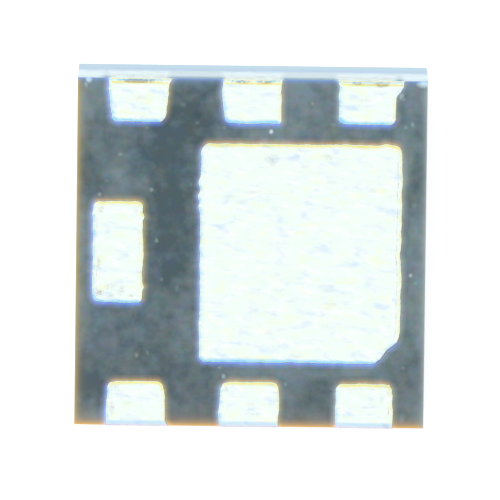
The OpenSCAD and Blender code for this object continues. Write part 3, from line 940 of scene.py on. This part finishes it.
# Each lead: its middle, row, length and inner corners' radii, how dark its seams of dirt and painted shade
# are, how far its left and right side lie from the middle at each of STATIONS, as seen with +Y up, and the
# marks on it
LEADS = {
    1: dict(x=0.65, row=-1, length=0.257, corners=(0.055, 0.045), seams=(0.15, 0.95),
            left=(0.158, 0.16, 0.16, 0.159, 0.157), right=(0.173, 0.176, 0.178, 0.179, 0.173),
            marks=[(785, -985, 22, 12, 0.6, DIRT_AND_SHADE), (680, -880, 60, 10, 0.35, HAZE),
                   (650, -775, 130, 5, 0.35, DIRT_AND_SHADE), (760, -830, 16, 30, 0.3, HAZE)]),
    2: dict(x=0.0, row=-1, length=0.262, corners=(0.06, 0.045), seams=(0.1, 0.15),
            left=(0.166, 0.176, 0.181, 0.176, 0.169), right=(0.168, 0.167, 0.172, 0.179, 0.174),
            marks=[(-130, -785, 24, 16, 0.5, HAZE), (-132, -795, 14, 10, 0.25, DIRT_AND_SHADE),
                   (40, -925, 45, 12, 0.35, HAZE), (10, -870, 30, 14, 0.25, HAZE)]),
    3: dict(x=-0.65, row=-1, length=0.26, corners=(0.055, 0.055), seams=(0.3, 0.1),
            left=(0.17, 0.17, 0.174, 0.172, 0.166), right=(0.192, 0.175, 0.174, 0.173, 0.166),
            marks=[(-785, -900, 20, 50, 0.4, DIRT_AND_SHADE), (-770, -775, 35, 20, 0.4, HAZE),
                   (-700, -870, 40, 14, 0.25, HAZE)]),
    4: dict(x=-0.65, row=1, length=0.252, corners=(0.045, 0.055), seams=(0.1, 0.15),
            left=(0.171, 0.174, 0.177, 0.173, 0.161), right=(0.195, 0.18, 0.176, 0.175, 0.159),
            marks=[(-657, 986, 126, 16, 1.9, GREY_END), (-640, 890, 50, 14, 0.3, HAZE)]),
    5: dict(x=0.0, row=1, length=0.2545, corners=(0.045, 0.025), seams=(0.1, 0.15),
            left=(0.168, 0.176, 0.182, 0.179, 0.166), right=(0.172, 0.168, 0.168, 0.17, 0.169),
            marks=[(-60, 986, 70, 15, 1.0, GREY_END), (70, 986, 65, 16, 1.1, GREY_END)]),
    6: dict(x=0.65, row=1, length=0.255, corners=(0.05, 0.045), seams=(0.1, 0.15),
            left=(0.164, 0.158, 0.157, 0.161, 0.158), right=(0.218, 0.216, 0.203, 0.175, 0.173),
            marks=[(735, 980, 70, 22, 1.1, GREY_END), (595, 984, 60, 16, 0.9, GREY_END),
                   (640, 890, 50, 14, 0.3, HAZE)]),
}


def lead_outline(lead):
    """Anticlockwise outline, with its sawn side on the body's side."""
    x, row = lead["x"], lead["row"]
    inner_y = row * (HALF_L - lead["length"])
    left = [(x - w, row * (HALF_L - s), 0.0) for w, s in zip(lead["left"], STATIONS)]
    right = [(x + w, row * (HALF_L - s), 0.0) for w, s in zip(lead["right"], STATIONS)]
    rl, rr = lead["corners"]
    tip = [(x - lead["left"][-1], inner_y, rl), (x + lead["right"][-1], inner_y, rr)]
    corners = left + tip + right[::-1]
    return round_corners(corners if row > 0 else corners[::-1])


def add_drain_land():
    lo, hi = (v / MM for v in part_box("tin_drain_pad"))
    # The cut corner that marks lead 1 is a little dented
    drain = round_corners([(lo.x - 0.005, lo.y - 0.002, 0.045), (hi.x - 0.152, lo.y - 0.002, 0.03),
                           (hi.x - 0.118, lo.y + 0.026, 0.015), (hi.x - 0.084, lo.y + 0.073, 0.012),
                           (hi.x - 0.018, lo.y + 0.126, 0.012), (hi.x - 0.003, lo.y + 0.185, 0.02),
                           (hi.x, hi.y + 0.004, 0.06), (lo.x - 0.005, hi.y + 0.004, 0.06)])
    scuffs = [
        (115, 545, 55, 30, 0.55, HAZE), (120, 520, 14, 14, 0.45, DIRT_AND_SHADE), (430, 565, 22, 16, 0.6, DIRT_AND_SHADE),
        (455, 550, 22, 14, 0.45, DIRT_AND_SHADE), (350, 590, 12, 10, 0.3, DIRT_AND_SHADE), (690, 372, 30, 16, 0.4, HAZE),
        (300, 505, 30, 11, 0.3, HAZE), (5, 352, 55, 11, 0.35, HAZE), (-120, 325, 55, 12, 0.28, HAZE),
        (-50, 297, 45, 14, 0.35, HAZE), (140, 262, 40, 14, 0.28, HAZE), (455, 415, 40, 16, 0.25, HAZE),
        (150, -120, 30, 16, 0.28, HAZE), (160, -210, 45, 12, 0.32, HAZE), (240, -270, 40, 14, 0.28, HAZE),
        (440, -210, 50, 14, 0.35, HAZE), (460, -285, 50, 14, 0.35, HAZE), (430, -415, 40, 12, 0.32, HAZE),
        (260, -590, 50, 14, 0.35, HAZE), (110, -455, 30, 14, 0.3, HAZE),
    ]
    bumps = [
        (lo.x, 0.4, 0.045, 0.012), (lo.x, 0.325, 0.04, 0.015), (lo.x, 0.265, 0.04, 0.012),
        (0.535, hi.y, 0.04, 0.006), (0.765, hi.y, 0.045, 0.006), (hi.x, 0.43, 0.07, 0.006),
        (hi.x, 0.19, 0.06, 0.002), (hi.x, 0.0, 0.035, -0.007), (hi.x, -0.15, 0.07, 0.006),
        (hi.x, -0.38, 0.06, 0.002),
    ]
    return add_land("drain_pad_tin", "tin_drain_pad", drain, step=0.0125, seed=1.0,
                    marks=scuffs, seams=(0.35, 0.95), bumps=bumps)


def add_source_land():
    lo, hi = (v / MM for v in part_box("tin_source_pad"))
    source = round_corners([(lo.x - 0.004, lo.y + 0.003, 0.045), (hi.x - 0.003, lo.y - 0.002, 0.03),
                            (hi.x - 0.001, hi.y, 0.04), (lo.x - 0.004, hi.y, 0.04)])
    scuffs = [
        (-862, -233, 28, 20, 0.9, DIRT_AND_SHADE), (-820, -203, 16, 22, 0.4, DIRT_AND_SHADE), (-794, -250, 20, 14, 0.55, DIRT_AND_SHADE),
        (-734, -215, 16, 24, 0.5, DIRT_AND_SHADE), (-685, -250, 22, 14, 0.5, DIRT_AND_SHADE), (-868, -68, 14, 50, 0.45, DIRT_AND_SHADE),
        (-794, -195, 30, 22, 0.25, HAZE), (-744, -235, 30, 20, 0.25, HAZE), (-862, 245, 22, 28, 0.5, DIRT_AND_SHADE),
        (-659, 245, 20, 30, 0.2, DIRT_AND_SHADE),
    ]
    bumps = [(hi.x, 0.205, 0.03, 0.01), (hi.x, -0.2, 0.03, 0.01), (lo.x, 0.212, 0.04, 0.006),
             (hi.x, 0.0, 0.16, 0.004)]
    return add_land("source_pad_tin", "tin_source_pad", source, step=0.009, seed=2.0,
                    marks=scuffs, seams=(0.7, 0.3), bumps=bumps)


def add_lands():
    edges = [add_drain_land(), add_source_land()]
    for i, lead in LEADS.items():
        edges.append(add_land(f"lead_{i}_tin", f"tin_lead_{i}", lead_outline(lead), step=0.0075,
                              seed=10.0 + i, marks=lead["marks"], seams=lead["seams"], sawn=lead["row"]))
    add_land_halos(edges)


# Grains

# What a speck adds to the colour of the epoxy
TEAL, STRAW, GREEN = (0.5, 0.64, 0.67), (0.52, 0.62, 0.42), (0.34, 0.62, 0.5)
# Grains and pits seen on the moulded face: place, half sizes across and along, amount and tint
SPECKS = [
    (110, 701, 13, 13, 0.92, TEAL), (915, -118, 12, 13, 0.47, TEAL), (-147, -712, 12, 17, 0.42, TEAL),
    (-572, 359, 12, 14, 0.28, TEAL), (-869, 327, 12, 12, 0.3, STRAW), (-540, 66, 12, 13, 0.29, GREEN),
    (916, 751, 12, 14, 0.2, TEAL), (-647, -597, 13, 15, 0.22, STRAW), (-171, -660, 12, 11, 0.22, TEAL),
    (-509, -158, 12, 12, 0.14, STRAW), (-314, 748, 14, 13, 0.12, TEAL), (-159, 721, 10, 10, 0.18, TEAL),
    (343, 865, 12, 13, 0.17, STRAW), (877, 734, 11, 12, 0.15, TEAL), (-752, 559, 12, 12, 0.17, GREEN),
    (208, -753, 10, 16, 0.16, TEAL), (-395, 851, 18, 16, 0.11, TEAL), (-584, -579, 12, 14, 0.15, GREEN),
    (863, 895, 12, 12, 0.17, TEAL), (-344, 391, 12, 12, 0.12, GREEN), (945, -163, 12, 12, 0.16, GREEN),
    (-419, -210, 12, 24, 0.11, TEAL), (-825, 408, 14, 10, 0.11, TEAL), (879, -943, 18, 24, 0.1, TEAL),
    (933, 285, 16, 14, 0.11, TEAL), (-599, 716, 14, 12, 0.11, GREEN), (882, -653, 12, 14, 0.11, TEAL),
    (465, 746, 20, 14, 0.1, TEAL), (-938, 988, 18, 18, 0.75, TEAL), (-953, 962, 12, 18, 0.25, TEAL),
    (975, 986, 36, 22, 0.8, TEAL), (850, 914, 18, 26, 0.42, TEAL), (934, 700, 36, 30, -0.05, TEAL),
    (196, 691, 40, 24, -0.05, TEAL), (-650, -360, 26, 36, -0.045, STRAW), (-314, 794, 36, 30, -0.035, TEAL),
    (-251, -678, 30, 26, -0.045, TEAL), (-532, -572, 30, 26, -0.035, TEAL), (942, 21, 28, 24, -0.045, TEAL),
    (353, 946, 36, 26, -0.04, TEAL), (419, -745, 30, 24, -0.04, TEAL), (-371, -202, 26, 22, -0.035, TEAL),
]
# How high a speck is, and the rings that draw it: share of that height, width, and share of the tint
SPECK_H = 0.0015
SPECK_RINGS = ((0.0, 1.45, 0.0), (0.35, 1.3, 0.0), (0.75, 0.72, 0.6), (1.0, 0.34, 1.0))
SPECK_SIDES = 10
# How far out of round it is, and how fast that changes round it and from one speck to the next
SPECK_RAGGED = 0.35
SPECK_ROUND = 1.7
SPECK_NEXT = 3.7


def add_specks():
    vertices, faces, colours = [], [], []
    for k, (*where, amount, tint) in enumerate(SPECKS):
        x, y, a, b = (v / THOUSANDTHS for v in where)
        start = len(vertices)
        for level, shrink, share in SPECK_RINGS:
            for i in range(SPECK_SIDES):
                t = math.tau * i / SPECK_SIDES
                c, s = math.cos(t), math.sin(t)
                uneven = noise.noise(Vector((c * SPECK_ROUND, s * SPECK_ROUND, k * SPECK_NEXT)))
                r = shrink * (1.0 + SPECK_RAGGED * uneven)
                px = min(max(x + a * r * c, -HALF_W), HALF_W)
                py = min(max(y + b * r * s, -HALF_L), HALF_L)
                vertices.append((px, py, MOLD_TOP - TINTED_FOOT + level * SPECK_H))
                colours += [*(share * amount * v for v in tint), 1.0]
        for level in range(len(SPECK_RINGS) - 1):
            for i in range(SPECK_SIDES):
                j = (i + 1) % SPECK_SIDES
                a0, b0 = start + level * SPECK_SIDES + i, start + level * SPECK_SIDES + j
                faces.append((a0, b0, b0 + SPECK_SIDES, a0 + SPECK_SIDES))
        faces.append(tuple(len(vertices) - SPECK_SIDES + i for i in range(SPECK_SIDES)))
        faces.append(tuple(start + i for i in reversed(range(SPECK_SIDES))))
    add_tinted_piece("mold_grains", vertices, faces, colours)


# Scene

bpy.context.scene.view_settings.view_transform = "Standard"
add_camera()
add_world()
add_lamp()
add_floor()
MATERIALS = {
    "mold": mold_face_material("mold_compound", TONES, RIM_TONE_AND_FRINGES),
    "tin": tin_material(),
    "copper": copper_material(),
}
dress_mold()
dress(["drain_paddle", "source_post", "gate_post"], MATERIALS["copper"])
dress(["silicon_die"], silicon_material())
for name, (*look, nodes) in INNER_METALS.items():
    dress(nodes, simple_metal(name, *look))
dress([n for n in NODES if n.startswith("tin_")], MATERIALS["tin"])
add_lands()
add_specks()
